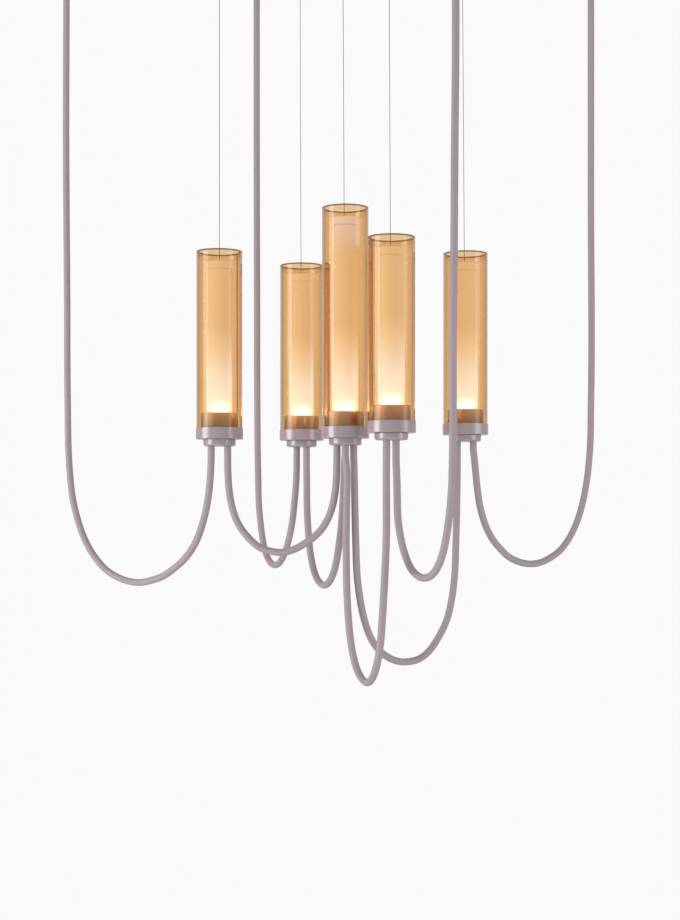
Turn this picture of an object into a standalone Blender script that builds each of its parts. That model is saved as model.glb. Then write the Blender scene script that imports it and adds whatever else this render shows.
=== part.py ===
"""Chandelier of five glass tube lamps, each hung on a steel wire, joined by looping hoses.

Metres, +Z up. The ceiling is the plane z = 0 and the origin is the top of lamp 3's wire
gripper. X runs along the row of lamps and Y runs away from the viewer.
"""
import math

import bmesh
import bpy
from mathutils import Matrix, Vector

# Whole chandelier
SPREAD_ACROSS = 0.880          # first to last ceiling cup along X
SPREAD_DEEP = 0.513            # nearest to farthest ceiling cup along Y
DROP = 0.822                   # ceiling to the underside of the lowest base ring
WIRE_LEAN = 0.005              # how far the most slanted wire leans along X over its height
GAP = 0.0003                   # between faces that touch

# Glass cylinder, open at both ends, standing in the base ring
GLASS_DIAMETER = 0.070
GLASS_WALL = 0.0025
GLASS_RISE = 0.270             # above the base ring
LONG_GLASS_RISE = 0.331        # the same on the one long lamp
GLASS_SEAT = 0.003             # depth of the seat in the base ring

# Frosted diffuser, a closed tube inside the glass
DIFFUSER_DIAMETER = 0.039
DIFFUSER_WALL = 0.002
DIFFUSER_SETBACK = 0.0155      # its top below the glass rim
DIFFUSER_EDGE = 0.0025         # rounding of its top edge
DIFFUSER_EYE = 0.008           # hole in its top for the wire
DIFFUSER_CLEARANCE = 0.0005    # around its foot in the heat sink

# Heat sink, the bright collar inside the foot of the glass
SINK_GAP = 0.004               # between the collar and the glass
SINK_RISE = 0.0225             # above the base ring
SINK_RECESS = 0.0025           # depth of the seat for diffuser and board
SINK_WIRE_HOLE = 0.003
SINK_SHELF = 0.0045            # width of its bearing on the base ring
SPIGOT_DEPTH = 0.002
SPIGOT_CLEARANCE = 0.0004

# Base ring, a shallow cup
RING_LIP = 0.0007              # wall around the glass
RING_HEIGHT = 0.0174
RING_FLOOR = 0.004

# Hub under the base ring, with the hose sockets and a boss into the ring
HUB_HEIGHT = 0.0105
HUB_RIM = 0.0066               # metal outside the hose sockets
HUB_CHAMFER = 0.0018
BOSS_DIAMETER = 0.014
BOSS_CLEARANCE = 0.0003
OUTLET_RADIUS = 0.0126         # hose axis to lamp axis
SOCKET_DEPTH = 0.006
SOCKET_CLEARANCE = 0.0003
LEAD_HOLE = 0.005              # from a socket into the ring, for the leads

# Light board on the heat sink
BOARD_GAP = 0.0025             # between the board and the diffuser wall
BOARD_THICKNESS = 0.0016
BOARD_EYE = 0.004              # hole for the wire
CHIP_SIDE = 0.0035
CHIP_HEIGHT = 0.0008
CHIP_SUNK = 0.0004             # solder depth
CHIP_COUNT = 6
CHIP_RADIUS_SHARE = 0.6        # of the board's radius

# Hoses and wires
HOSE_DIAMETER = 0.011
HOSE_SWAY = 0.020              # how far a loop swings out of its plane
HOSE_STEP_DIAMETERS = 2.2      # spacing of the points on a hose
HOSE_LEAD_DIAMETERS = 1.1      # straight run out of a socket
WIRE_DIAMETER = 0.001
FERRULE_DIAMETER = 0.0045      # crimped end of a wire
FERRULE_LENGTH = 0.0055

# Ceiling cup for a hose, with its mounting disc and terminal block
CUP_DIAMETER = 0.056
CUP_HEIGHT = 0.024
CUP_WALL = 0.002
CUP_WEB = 0.003                # floor above the hose socket
CUP_CHAMFER = 0.001
DISC_THICKNESS = 0.002
DISC_CABLE_HOLE = 0.010
DISC_SCREW_HOLE = 0.004
DISC_SCREW_SHARE = 0.7         # of the disc's radius
BLOCK_LENGTH = 0.012
BLOCK_WIDTH = 0.008
BLOCK_HEIGHT = 0.0065
BLOCK_BEVEL = 0.0006
BLOCK_PLACE_SHARE = 0.6        # of the cup's inner radius

# Wire gripper on the ceiling
FLANGE_DIAMETER = 0.024
FLANGE_THICKNESS = 0.003
FLANGE_SCREW_HOLE = 0.0035
GRIPPER_DIAMETER = 0.012
GRIPPER_NOSE = 0.006           # diameter of its tip
GRIPPER_NOSE_LENGTH = 0.004
GRIPPER_LENGTH = 0.020
GRIPPER_ROOF = 0.006           # solid metal above the wire
GRIPPER_CLEARANCE = 0.0004     # around the wire

# Sides of the turned pieces
GLASS_SIDES = 24
BODY_SIDES = 20
DIFFUSER_SIDES = 16
CUP_SIDES = 16
FITTING_SIDES = 12
SMALL_SIDES = 8
CURVE_STEPS = 12               # pieces of a smooth curve between two of its points
WELD = 0.00001                 # points nearer than this are one

# Lamps, left to right: the gripper's place as shares of the spread, the wire's lean as a
# share of WIRE_LEAN, the ring's underside as a share of DROP, and the outlet angles
LAMP_SHARES = {
    1: ((-0.2140, 0.0643), 0.00, 1.000, {"left": 180, "right": 0}),
    2: ((-0.0792, 0.4210), 0.57, 0.993, {"left": 131, "right": -49}),
    3: ((0.0000, 0.0000), 0.81, 1.000, {"left": 180, "right": 0, "front": -90, "back": 90}),
    4: ((0.0767, -0.1384), 0.77, 0.994, {"left": 235, "right": 55}),
    5: ((0.2155, 0.2378), 1.00, 0.987, {"left": 180, "right": 0}),
}
LONG_LAMP = 3

# Ceiling cups, by the hose that they hold, as shares of the spread
CUP_SHARES = {
    1: (-0.5239, 0.5205),
    3: (-0.1682, 0.7076),
    7: (0.1816, -0.2924),
    8: (0.4761, 0.5653),
}

# Hoses: where each starts and ends, then its route as shares of the way in plan, of DROP
# below the ceiling and, on three of them, of HOSE_SWAY to the side
HOSE_ROUTE_SHARES = {
    1: ("cup", (1, "left"), (
        (-0.003, 0.392), (0.005, 0.704), (0.009, 0.908), (0.024, 1.050), (0.049, 1.111),
        (0.086, 1.152), (0.139, 1.192), (0.215, 1.227), (0.296, 1.251), (0.376, 1.264),
        (0.458, 1.271), (0.537, 1.272), (0.619, 1.266), (0.693, 1.257), (0.759, 1.243),
        (0.822, 1.226), (0.872, 1.207), (0.909, 1.187), (0.937, 1.165), (0.967, 1.131),
        (0.987, 1.094), (0.997, 1.057))),
    2: ((1, "right"), (3, "left"), (
        (0.002, 1.057), (0.013, 1.094), (0.048, 1.131), (0.081, 1.150), (0.132, 1.168),
        (0.212, 1.187), (0.288, 1.200), (0.359, 1.206), (0.430, 1.209), (0.500, 1.210),
        (0.570, 1.207), (0.645, 1.201), (0.710, 1.193), (0.768, 1.185), (0.860, 1.167),
        (0.912, 1.150), (0.951, 1.130), (0.987, 1.094), (0.998, 1.057))),
    3: ("cup", (2, "left"), (
        (0.015, 0.393, 0.05), (0.019, 0.694, 0.03), (0.022, 0.898, 0.02), (0.029, 1.019, 0.00),
        (0.033, 1.047, -0.01), (0.036, 1.075, -0.03), (0.041, 1.102, -0.03),
        (0.054, 1.130, -0.05), (0.075, 1.157, -0.09), (0.107, 1.184, -0.12),
        (0.165, 1.210, -0.12), (0.264, 1.230, -0.06), (0.394, 1.242, 0.04), (0.538, 1.244, 0.17),
        (0.677, 1.237, 0.30), (0.796, 1.221, 0.38), (0.883, 1.199, 0.38), (0.937, 1.173, 0.31),
        (0.966, 1.146, 0.22), (0.981, 1.119, 0.15), (0.992, 1.091, 0.07), (0.997, 1.072, 0.03))),
    4: ((2, "right"), (3, "back"), (
        (0.004, 1.072), (0.016, 1.131), (0.045, 1.170), (0.096, 1.210), (0.142, 1.231),
        (0.208, 1.251), (0.310, 1.268), (0.390, 1.274), (0.468, 1.276), (0.550, 1.273),
        (0.635, 1.264), (0.733, 1.245), (0.795, 1.224), (0.845, 1.200), (0.898, 1.167),
        (0.935, 1.130), (0.970, 1.075), (0.990, 1.036))),
    5: ((3, "front"), (4, "left"), (
        (0.016, 1.069, -0.09), (-0.007, 1.113, -0.16), (-0.036, 1.153, -0.24),
        (-0.062, 1.196, -0.33), (-0.076, 1.236, -0.41), (-0.078, 1.278, -0.47),
        (-0.069, 1.311, -0.52), (-0.052, 1.342, -0.57), (-0.025, 1.370, -0.63),
        (0.032, 1.399, -0.67), (0.160, 1.423, -0.54), (0.376, 1.438, -0.19), (0.660, 1.440, 0.38),
        (0.885, 1.425, 0.80), (1.017, 1.398, 0.95), (1.069, 1.368, 0.91), (1.081, 1.336, 0.81),
        (1.079, 1.299, 0.67), (1.071, 1.262, 0.52), (1.064, 1.229, 0.40), (1.056, 1.197, 0.29),
        (1.044, 1.162, 0.20), (1.028, 1.128, 0.13), (1.011, 1.096, 0.07), (1.002, 1.060, 0.03))),
    6: ((3, "right"), (5, "left"), (
        (0.004, 1.058), (0.010, 1.113), (0.019, 1.186), (0.036, 1.260), (0.060, 1.297),
        (0.100, 1.335), (0.166, 1.371), (0.232, 1.391), (0.298, 1.403), (0.364, 1.411),
        (0.439, 1.416), (0.516, 1.417), (0.592, 1.415), (0.660, 1.409), (0.725, 1.398),
        (0.799, 1.378), (0.850, 1.361), (0.893, 1.342), (0.941, 1.304), (0.968, 1.266),
        (0.985, 1.189), (0.995, 1.112))),
    7: ((4, "right"), "cup", (
        (0.001, 1.048, -0.01), (0.007, 1.082, -0.05), (0.010, 1.105, -0.06),
        (0.012, 1.128, -0.07), (0.017, 1.150, -0.12), (0.030, 1.173, -0.22),
        (0.055, 1.195, -0.33), (0.106, 1.216, -0.39), (0.196, 1.234, -0.32),
        (0.320, 1.246, -0.17), (0.466, 1.251, 0.04), (0.613, 1.248, 0.25), (0.743, 1.237, 0.43),
        (0.840, 1.220, 0.54), (0.897, 1.199, 0.53), (0.927, 1.177, 0.46), (0.944, 1.154, 0.36),
        (0.957, 1.132, 0.28), (0.966, 1.109, 0.22), (0.973, 1.087, 0.18), (0.976, 1.064, 0.16),
        (0.979, 1.042, 0.14), (0.980, 1.019, 0.13), (0.981, 0.854, 0.13), (0.989, 0.684, 0.07),
        (0.995, 0.509, 0.04), (1.002, 0.353, -0.01))),
    8: ((5, "right"), "cup", (
        (0.007, 1.030), (0.018, 1.057), (0.034, 1.094), (0.060, 1.131), (0.113, 1.170),
        (0.160, 1.190), (0.225, 1.209), (0.285, 1.223), (0.345, 1.231), (0.444, 1.238),
        (0.543, 1.237), (0.642, 1.227), (0.729, 1.212), (0.796, 1.192), (0.842, 1.173),
        (0.880, 1.152), (0.931, 1.111), (0.963, 1.071), (0.990, 1.009), (1.001, 0.906),
        (1.000, 0.496))),
}

# Sizes that follow from the ones above
GLASS_BORE = GLASS_DIAMETER - 2 * GLASS_WALL
RING_DIAMETER = GLASS_DIAMETER + 2 * (GAP + RING_LIP)
SINK_DIAMETER = GLASS_BORE - 2 * SINK_GAP
CAVITY_DIAMETER = SINK_DIAMETER - 2 * SINK_SHELF
HUB_DIAMETER = 2 * OUTLET_RADIUS + HOSE_DIAMETER + 2 * HUB_RIM
SOCKET_DIAMETER = HOSE_DIAMETER + 2 * SOCKET_CLEARANCE
BOARD_DIAMETER = DIFFUSER_DIAMETER - 2 * DIFFUSER_WALL - 2 * BOARD_GAP
SHELF = RING_HEIGHT - GLASS_SEAT
SINK_TOP = RING_HEIGHT + SINK_RISE
SINK_FLOOR = SINK_TOP - SINK_RECESS
SPIGOT_END = SHELF - SPIGOT_DEPTH
FERRULE_TOP = SPIGOT_END - GAP
CUP_FLOOR = SOCKET_DEPTH + CUP_WEB
CUP_BORE = CUP_DIAMETER - 2 * CUP_WALL
HOSE_END = SOCKET_DEPTH - GAP  # hose inside its socket
OVERRUN = 0.002                # cutters past the faces that they cut


def clear_scene():
    """Removes the objects that a new file opens with."""
    for thing in list(bpy.data.objects):
        bpy.data.objects.remove(thing, do_unlink=True)


def collection(name):
    """A collection in the scene."""
    group = bpy.data.collections.new(name)
    bpy.context.scene.collection.children.link(group)
    return group


def plain(name, colour, roughness, metallic=0.0, alpha=1.0):
    """A plain material."""
    material = bpy.data.materials.new(name)
    material.use_nodes = True
    shader = material.node_tree.nodes["Principled BSDF"]
    shader.inputs["Base Color"].default_value = (*colour, 1.0)
    shader.inputs["Roughness"].default_value = roughness
    shader.inputs["Metallic"].default_value = metallic
    shader.inputs["Alpha"].default_value = alpha
    return material


clear_scene()
PARTS = collection("tube_lamp_chandelier")
CUTTERS = collection("cutters")
AMBER = plain("amber glass", (0.80, 0.48, 0.16), 0.03, alpha=0.45)
FROSTED = plain("frosted diffuser", (0.95, 0.88, 0.72), 0.50)
TURNED = plain("turned aluminium", (0.62, 0.60, 0.58), 0.30, 1.0)
PAINTED = plain("satin grey paint", (0.44, 0.39, 0.40), 0.45)
HOSE_SKIN = plain("grey hose", (0.38, 0.34, 0.36), 0.60)
STEEL = plain("steel", (0.45, 0.45, 0.46), 0.35, 1.0)
NICKEL = plain("nickelled brass", (0.70, 0.66, 0.58), 0.30, 1.0)
BOARD_WHITE = plain("white board", (0.90, 0.90, 0.88), 0.40)
BLOCK_WHITE = plain("white terminal", (0.85, 0.85, 0.83), 0.50)


def place(name, at):
    """An empty on the axis of one lamp or one ceiling fitting."""
    empty = bpy.data.objects.new(name, None)
    empty.location = at
    PARTS.objects.link(empty)
    return empty


def piece(name, data, material, parent=None, into=None):
    """An object for one sub-part."""
    thing = bpy.data.objects.new(name, data)
    data.materials.clear()
    data.materials.append(material)
    thing.parent = parent
    (into or PARTS).objects.link(thing)
    return thing


def tool(name, mesh, parent=None):
    """A closed body that cuts a piece or is joined to one."""
    thing = piece(name, mesh, STEEL, parent, CUTTERS)
    thing.hide_render = True
    thing.display_type = "WIRE"
    return thing


def combine(thing, operation, other):
    """Cuts another object out of a piece, or joins it to the piece."""
    step = thing.modifiers.new(operation.lower(), "BOOLEAN")
    step.operation = operation
    step.solver = "EXACT"
    step.object = other


def turned_mesh(name, profile):
    """The outline of a turned piece. It is (radius, height) pairs down the outer side, and
    it closes on itself unless it starts and ends on the axis."""
    mesh = bpy.data.meshes.new(name)
    shape = bmesh.new()
    corners = [shape.verts.new((radius, 0.0, height)) for radius, height in profile]
    for first, second in zip(corners, corners[1:]):
        shape.edges.new((first, second))
    if profile[0][0] > 0.0:
        shape.edges.new((corners[-1], corners[0]))
    shape.to_mesh(mesh)
    shape.free()
    return mesh


def turn(thing, sides):
    """Turns an outline about the Z axis."""
    screw = thing.modifiers.new("turn", "SCREW")
    screw.axis = "Z"
    screw.angle = math.tau
    screw.steps = sides
    screw.render_steps = sides
    screw.use_merge_vertices = True
    screw.merge_threshold = WELD
    screw.use_smooth_shade = True


def turned(name, profile, sides, material, parent):
    """A turned piece."""
    thing = piece(name, turned_mesh(name, profile), material, parent)
    turn(thing, sides)
    return thing


def rods(name, diameter, sides, bottom, top, centres, parent):
    """Upright cylinders in one cutter."""
    shape = bmesh.new()
    for x, y in centres:
        middle = Matrix.Translation((x, y, (bottom + top) / 2))
        bmesh.ops.create_cone(shape, cap_ends=True, segments=sides,
                              radius1=diameter / 2, radius2=diameter / 2,
                              depth=top - bottom, matrix=middle)
    mesh = bpy.data.meshes.new(name)
    shape.to_mesh(mesh)
    shape.free()
    return tool(name, mesh, parent)


def boxes(name, size, centres):
    """Boxes of one size in one mesh; each centre is a matrix."""
    shape = bmesh.new()
    for at in centres:
        bmesh.ops.create_cube(shape, size=1.0, matrix=at @ Matrix.Diagonal((*size, 1.0)))
    mesh = bpy.data.meshes.new(name)
    shape.to_mesh(mesh)
    shape.free()
    return mesh


def polar(radius, degrees):
    """A point on a circle, in plan."""
    angle = math.radians(degrees)
    return radius * math.cos(angle), radius * math.sin(angle)


# Places
def gripper_place(number):
    """Where a lamp's wire meets the ceiling."""
    (across, deep), _, _, _ = LAMP_SHARES[number]
    return Vector((across * SPREAD_ACROSS, deep * SPREAD_DEEP, 0.0))


def lamp_place(number):
    """The centre of a base ring's underside."""
    _, lean, drop, _ = LAMP_SHARES[number]
    return gripper_place(number) + Vector((lean * WIRE_LEAN, 0.0, -drop * DROP))


def cup_place(hose):
    """The centre of a ceiling cup's top."""
    across, deep = CUP_SHARES[hose]
    return Vector((across * SPREAD_ACROSS, deep * SPREAD_DEEP, 0.0))


def outlets(number):
    """The hose axes of a lamp's hub, in plan from the lamp's axis."""
    return {side: polar(OUTLET_RADIUS, angle)
            for side, angle in LAMP_SHARES[number][3].items()}


def socket_place(end, hose):
    """The mouth of the socket that holds one end of a hose."""
    if end == "cup":
        return cup_place(hose) - Vector((0.0, 0.0, CUP_HEIGHT))
    number, side = end
    x, y = outlets(number)[side]
    return lamp_place(number) + Vector((x, y, -HUB_HEIGHT))


# Lamp pieces
def glass_tube(number, lamp):
    """Amber glass cylinder."""
    rise = LONG_GLASS_RISE if number == LONG_LAMP else GLASS_RISE
    foot = SHELF + GAP
    rim = RING_HEIGHT + rise
    outside = GLASS_DIAMETER / 2
    inside = GLASS_BORE / 2
    profile = ((outside, rim), (outside, foot), (inside, foot), (inside, rim))
    turned(f"glass_tube_{number}", profile, GLASS_SIDES, AMBER, lamp)
    return rim


def diffuser(number, lamp, rim):
    """Frosted tube with a closed top, its edge broken."""
    top = rim - DIFFUSER_SETBACK
    foot = SINK_FLOOR + GAP
    outside = DIFFUSER_DIAMETER / 2
    inside = outside - DIFFUSER_WALL
    eye = DIFFUSER_EYE / 2
    profile = (
        (eye, top),
        (outside - DIFFUSER_EDGE, top),
        (outside, top - DIFFUSER_EDGE),
        (outside, foot),
        (inside, foot),
        (inside, top - DIFFUSER_WALL),
        (eye, top - DIFFUSER_WALL),
    )
    turned(f"diffuser_{number}", profile, DIFFUSER_SIDES, FROSTED, lamp)


def heat_sink(number, lamp):
    """Aluminium collar with a seat on top and a spigot below."""
    outside = SINK_DIAMETER / 2
    recess = DIFFUSER_DIAMETER / 2 + DIFFUSER_CLEARANCE
    spigot = CAVITY_DIAMETER / 2 - SPIGOT_CLEARANCE
    hole = SINK_WIRE_HOLE / 2
    foot = SHELF + GAP
    profile = (
        (hole, SINK_FLOOR),
        (recess, SINK_FLOOR),
        (recess, SINK_TOP),
        (outside, SINK_TOP),
        (outside, foot),
        (spigot, foot),
        (spigot, SPIGOT_END),
        (hole, SPIGOT_END),
    )
    turned(f"heat_sink_{number}", profile, BODY_SIDES, TURNED, lamp)


def led_board(number, lamp):
    """Round board on the heat sink, with its light chips and a hole for the wire."""
    foot = SINK_FLOOR + GAP
    top = foot + BOARD_THICKNESS
    outside = BOARD_DIAMETER / 2
    eye = BOARD_EYE / 2
    profile = ((outside, top), (outside, foot), (eye, foot), (eye, top))
    board = turned(f"led_board_{number}", profile, DIFFUSER_SIDES, BOARD_WHITE, lamp)
    thickness = CHIP_HEIGHT + CHIP_SUNK
    centres = []
    for index in range(CHIP_COUNT):
        angle = 360 * index / CHIP_COUNT
        x, y = polar(CHIP_RADIUS_SHARE * outside, angle)
        spot = Matrix.Translation((x, y, top - CHIP_SUNK + thickness / 2))
        centres.append(spot @ Matrix.Rotation(math.radians(angle), 4, "Z"))
    chips = boxes(f"chips_{number}", (CHIP_SIDE, CHIP_SIDE, thickness), centres)
    combine(board, "UNION", tool(f"chips_{number}", chips, lamp))


def base_ring(number, lamp, leads):
    """Shallow painted cup that carries glass and heat sink."""
    outside = RING_DIAMETER / 2
    seat = GLASS_DIAMETER / 2 + GAP
    cavity = CAVITY_DIAMETER / 2
    hole = BOSS_DIAMETER / 2 + BOSS_CLEARANCE
    profile = (
        (hole, RING_FLOOR),
        (cavity, RING_FLOOR),
        (cavity, SHELF),
        (seat, SHELF),
        (seat, RING_HEIGHT),
        (outside, RING_HEIGHT),
        (outside, 0.0),
        (hole, 0.0),
    )
    ring = turned(f"base_ring_{number}", profile, GLASS_SIDES, PAINTED, lamp)
    combine(ring, "DIFFERENCE", leads)


def hub(number, lamp, leads, sockets):
    """Painted disc with the hose sockets and a boss that fits the base ring."""
    outside = HUB_DIAMETER / 2
    boss = BOSS_DIAMETER / 2
    profile = (
        (0.0, RING_FLOOR),
        (boss, RING_FLOOR),
        (boss, -GAP),
        (outside, -GAP),
        (outside, HUB_CHAMFER - HUB_HEIGHT),
        (outside - HUB_CHAMFER, -HUB_HEIGHT),
        (0.0, -HUB_HEIGHT),
    )
    disc = turned(f"hub_{number}", profile, BODY_SIDES, PAINTED, lamp)
    combine(disc, "DIFFERENCE", sockets)
    combine(disc, "DIFFERENCE", leads)


def lamp(number):
    """One lamp, from the hub up to the rim of its glass."""
    at = place(f"lamp_{number}_place", lamp_place(number))
    centres = outlets(number).values()
    below = -HUB_HEIGHT - OVERRUN
    leads = rods(f"leads_{number}", LEAD_HOLE, SMALL_SIDES, below,
                 RING_FLOOR + OVERRUN, centres, at)
    sockets = rods(f"sockets_{number}", SOCKET_DIAMETER, FITTING_SIDES, below,
                   SOCKET_DEPTH - HUB_HEIGHT, centres, at)
    rim = glass_tube(number, at)
    diffuser(number, at, rim)
    heat_sink(number, at)
    led_board(number, at)
    base_ring(number, at, leads)
    hub(number, at, leads, sockets)


# Wires and hoses
def tube(name, points, diameter, material):
    """Round tube along points, with closed ends."""
    curve = bpy.data.curves.new(name, "CURVE")
    curve.dimensions = "3D"
    curve.bevel_depth = diameter / 2
    curve.bevel_resolution = 2
    curve.use_fill_caps = True
    spline = curve.splines.new("POLY")
    spline.points.add(len(points) - 1)
    for slot, point in zip(spline.points, points):
        slot.co = (*point, 1.0)
    return piece(name, curve, material)


def welded_mesh(thing, name):
    """The mesh of a tube, its caps joined to its wall; the tube itself goes."""
    bpy.context.view_layer.update()
    seen = thing.evaluated_get(bpy.context.evaluated_depsgraph_get())
    mesh = bpy.data.meshes.new_from_object(seen)
    mesh.name = name
    shape = bmesh.new()
    shape.from_mesh(mesh)
    bmesh.ops.remove_doubles(shape, verts=shape.verts, dist=WELD)
    shape.to_mesh(mesh)
    shape.free()
    bpy.data.objects.remove(thing, do_unlink=True)
    return mesh


def suspension_wire(number):
    """Straight steel wire into the gripper, with a crimped ferrule under the heat sink."""
    under = lamp_place(number) + Vector((0.0, 0.0, FERRULE_TOP - FERRULE_LENGTH / 2))
    roof = gripper_place(number) - Vector((0.0, 0.0, GRIPPER_ROOF + GAP))
    strand = tube(f"strand_{number}", (under, roof), WIRE_DIAMETER, STEEL)
    wire = piece(f"suspension_wire_{number}", welded_mesh(strand, f"wire_{number}"), STEEL)
    radius = FERRULE_DIAMETER / 2
    foot = FERRULE_TOP - FERRULE_LENGTH
    profile = ((0.0, FERRULE_TOP), (radius, FERRULE_TOP), (radius, foot), (0.0, foot))
    at = place(f"ferrule_{number}_place", lamp_place(number))
    ferrule = tool(f"ferrule_{number}", turned_mesh(f"ferrule_{number}", profile), at)
    turn(ferrule, SMALL_SIDES)
    combine(wire, "UNION", ferrule)


def smooth_curve(points):
    """A smooth curve through points: cubic pieces whose slopes follow the neighbours."""
    spans = [(b - a).length for a, b in zip(points, points[1:])]
    chords = [(b - a) / span for a, b, span in zip(points, points[1:], spans)]
    slopes = [chords[0]]
    for index in range(1, len(chords)):
        weight = spans[index - 1] / (spans[index - 1] + spans[index])
        slopes.append(chords[index - 1].lerp(chords[index], weight))
    slopes.append(chords[-1])
    line = []
    for index, span in enumerate(spans):
        for step in range(CURVE_STEPS):
            t = step / CURVE_STEPS
            line.append(points[index] * (2 * t**3 - 3 * t**2 + 1)
                        + slopes[index] * (span * (t**3 - 2 * t**2 + t))
                        + points[index + 1] * (3 * t**2 - 2 * t**3)
                        + slopes[index + 1] * (span * (t**3 - t**2)))
    line.append(points[-1])
    return line


def spaced(line, step):
    """Points at even distances along a line."""
    total = sum((b - a).length for a, b in zip(line, line[1:]))
    count = max(2, round(total / step))
    wanted = [total * index / count for index in range(1, count)]
    found = [line[0]]
    walked = 0.0
    for start, end in zip(line, line[1:]):
        length = (end - start).length
        while wanted and wanted[0] <= walked + length:
            found.append(start.lerp(end, (wanted.pop(0) - walked) / length))
        walked += length
    return found + [line[-1]]


def hose(number):
    """Hose from one socket to the next along its route, straight where it enters them."""
    first, last, route = HOSE_ROUTE_SHARES[number]
    start = socket_place(first, number)
    end = socket_place(last, number)
    across = (end - start).to_2d()
    aside = Vector((across.y, -across.x)).normalized() * HOSE_SWAY
    inside = Vector((0.0, 0.0, HOSE_END))
    lead = Vector((0.0, 0.0, -HOSE_LEAD_DIAMETERS * HOSE_DIAMETER))
    points = [start + inside, start + lead]
    for along, below, *sway in route:
        plan = start.to_2d() + across * along + aside * sum(sway)
        points.append(Vector((*plan, -below * DROP)))
    points += [end + lead, end + inside]
    free = smooth_curve(points)[CURVE_STEPS:-CURVE_STEPS]
    line = spaced(free, HOSE_STEP_DIAMETERS * HOSE_DIAMETER)
    tube(f"hose_{number}", [points[0], *line, points[-1]], HOSE_DIAMETER, HOSE_SKIN)


# Ceiling fittings
def ceiling_cup(number, fitting):
    """Cup that covers the joint with the supply cable and holds a hose below."""
    outside = CUP_DIAMETER / 2
    inside = CUP_BORE / 2
    socket = SOCKET_DIAMETER / 2
    leads = LEAD_HOLE / 2
    floor = CUP_FLOOR - CUP_HEIGHT
    web = SOCKET_DEPTH - CUP_HEIGHT
    profile = (
        (outside, 0.0),
        (outside, CUP_CHAMFER - CUP_HEIGHT),
        (outside - CUP_CHAMFER, -CUP_HEIGHT),
        (socket, -CUP_HEIGHT),
        (socket, web),
        (leads, web),
        (leads, floor),
        (inside, floor),
        (inside, 0.0),
    )
    turned(f"ceiling_cup_{number}", profile, CUP_SIDES, PAINTED, fitting)


def ceiling_disc(number, fitting):
    """Disc that is screwed to the ceiling inside a cup."""
    outside = CUP_BORE / 2 - GAP
    hole = DISC_CABLE_HOLE / 2
    profile = ((outside, 0.0), (outside, -DISC_THICKNESS), (hole, -DISC_THICKNESS), (hole, 0.0))
    disc = turned(f"ceiling_disc_{number}", profile, CUP_SIDES, STEEL, fitting)
    centres = [polar(DISC_SCREW_SHARE * outside, angle) for angle in (90, 270)]
    holes = rods(f"disc_holes_{number}", DISC_SCREW_HOLE, SMALL_SIDES,
                 -DISC_THICKNESS - OVERRUN, OVERRUN, centres, fitting)
    combine(disc, "DIFFERENCE", holes)


def terminal_block(number, fitting):
    """Block on the floor of a cup that joins the supply cable to the hose's leads."""
    height = CUP_FLOOR - CUP_HEIGHT + GAP + BLOCK_HEIGHT / 2
    at = Matrix.Translation((BLOCK_PLACE_SHARE * CUP_BORE / 2, 0.0, height))
    size = (BLOCK_WIDTH, BLOCK_LENGTH, BLOCK_HEIGHT)
    name = f"terminal_block_{number}"
    block = piece(name, boxes(name, size, [at]), BLOCK_WHITE, fitting)
    edges = block.modifiers.new("edges", "BEVEL")
    edges.width = BLOCK_BEVEL
    edges.segments = 1


def wire_gripper(number):
    """Flanged gripper that holds the top of a wire."""
    fitting = place(f"gripper_{number}_place", gripper_place(number))
    flange = FLANGE_DIAMETER / 2
    body = GRIPPER_DIAMETER / 2
    nose = GRIPPER_NOSE / 2
    bore = WIRE_DIAMETER / 2 + GRIPPER_CLEARANCE
    profile = (
        (0.0, 0.0),
        (flange, 0.0),
        (flange, -FLANGE_THICKNESS),
        (body, -FLANGE_THICKNESS),
        (body, GRIPPER_NOSE_LENGTH - GRIPPER_LENGTH),
        (nose, -GRIPPER_LENGTH),
        (bore, -GRIPPER_LENGTH),
        (bore, -GRIPPER_ROOF),
        (0.0, -GRIPPER_ROOF),
    )
    gripper = turned(f"wire_gripper_{number}", profile, FITTING_SIDES, NICKEL, fitting)
    centres = [polar((flange + body) / 2, angle) for angle in (0, 180)]
    holes = rods(f"flange_holes_{number}", FLANGE_SCREW_HOLE, SMALL_SIDES,
                 -FLANGE_THICKNESS - OVERRUN, OVERRUN, centres, fitting)
    combine(gripper, "DIFFERENCE", holes)


def main():
    """Builds the whole chandelier."""
    for number in LAMP_SHARES:
        lamp(number)
        suspension_wire(number)
        wire_gripper(number)
    for number in HOSE_ROUTE_SHARES:
        hose(number)
    for number in CUP_SHARES:
        fitting = place(f"cup_{number}_place", cup_place(number))
        ceiling_cup(number, fitting)
        ceiling_disc(number, fitting)
        terminal_block(number, fitting)


main()
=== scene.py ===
"""Looks for a chandelier of five amber glass tube lamps on steel wires, joined by hoses.

Metres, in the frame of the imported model: the ceiling is z = 0 and Y runs away from the
viewer.
"""
import math

import bmesh
import bpy
from mathutils import Matrix, Vector


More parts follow.
